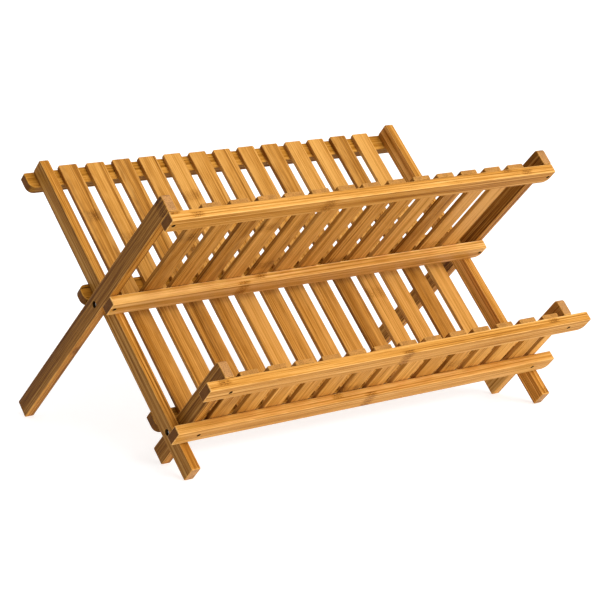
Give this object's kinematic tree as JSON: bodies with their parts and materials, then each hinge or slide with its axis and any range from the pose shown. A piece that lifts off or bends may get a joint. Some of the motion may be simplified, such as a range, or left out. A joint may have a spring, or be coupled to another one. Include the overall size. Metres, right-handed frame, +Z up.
{
  "type": "folding dish drying rack",
  "caption": "Folding two-tier bamboo dish rack: three crossing slatted panels pivot on steel pins, hold plates on edge in two troughs, and close flat.",
  "frame": {"origin": "centre of the bounding box, on the surface that the open rack stands on", "axes": "+X to the right along the rack, +Y to the back, +Z up"},
  "size_m": [0.42, 0.3048, 0.2356],
  "materials": {
    "rail_bamboo": "satin clear coat over carbonised bamboo",
    "crossbar_bamboo": "satin clear coat over carbonised bamboo",
    "slat_bamboo": "satin clear coat over carbonised bamboo",
    "pivot_steel": "zinc-plated"
  },
  "bodies": {
    "main_panel": {"main_rail_left": "rail_bamboo", "main_rail_right": "rail_bamboo", "main_crossbar_top": "crossbar_bamboo", "main_crossbar_middle": "crossbar_bamboo", "main_crossbar_bottom": "crossbar_bamboo", "main_slat_01": "slat_bamboo", "main_slat_02": "slat_bamboo", "main_slat_03": "slat_bamboo", "main_slat_04": "slat_bamboo", "main_slat_05": "slat_bamboo", "main_slat_06": "slat_bamboo", "main_slat_07": "slat_bamboo", "main_slat_08": "slat_bamboo", "main_slat_09": "slat_bamboo", "main_slat_10": "slat_bamboo", "main_slat_11": "slat_bamboo", "main_slat_12": "slat_bamboo", "main_slat_13": "slat_bamboo", "upper_pivot_pin_left": "pivot_steel", "upper_pivot_pin_right": "pivot_steel", "lower_pivot_pin_left": "pivot_steel", "lower_pivot_pin_right": "pivot_steel"},
    "upper_panel": {"upper_rail_left": "rail_bamboo", "upper_rail_right": "rail_bamboo", "upper_crossbar_top": "crossbar_bamboo", "upper_crossbar_stop": "crossbar_bamboo", "upper_slat_01": "slat_bamboo", "upper_slat_02": "slat_bamboo", "upper_slat_03": "slat_bamboo", "upper_slat_04": "slat_bamboo", "upper_slat_05": "slat_bamboo", "upper_slat_06": "slat_bamboo", "upper_slat_07": "slat_bamboo", "upper_slat_08": "slat_bamboo", "upper_slat_09": "slat_bamboo", "upper_slat_10": "slat_bamboo", "upper_slat_11": "slat_bamboo", "upper_slat_12": "slat_bamboo", "upper_slat_13": "slat_bamboo"},
    "lower_panel": {"lower_rail_left": "rail_bamboo", "lower_rail_right": "rail_bamboo", "lower_crossbar_top": "crossbar_bamboo", "lower_crossbar_stop": "crossbar_bamboo", "lower_slat_01": "slat_bamboo", "lower_slat_02": "slat_bamboo", "lower_slat_03": "slat_bamboo", "lower_slat_04": "slat_bamboo", "lower_slat_05": "slat_bamboo", "lower_slat_06": "slat_bamboo", "lower_slat_07": "slat_bamboo", "lower_slat_08": "slat_bamboo", "lower_slat_09": "slat_bamboo", "lower_slat_10": "slat_bamboo", "lower_slat_11": "slat_bamboo", "lower_slat_12": "slat_bamboo", "lower_slat_13": "slat_bamboo"}
  },
  "joints": [
    {"name": "upper_fold", "type": "hinge", "parent": "main_panel", "child": "upper_panel", "pos_m": [0, 0.01931, 0.12688], "axis": [-1, 0, 0], "range_deg": [0, 92.5]},
    {"name": "lower_fold", "type": "hinge", "parent": "main_panel", "child": "lower_panel", "pos_m": [0, -0.0755, 0.03532], "axis": [-1, 0, 0], "range_deg": [0, 90.5]}
  ]
}
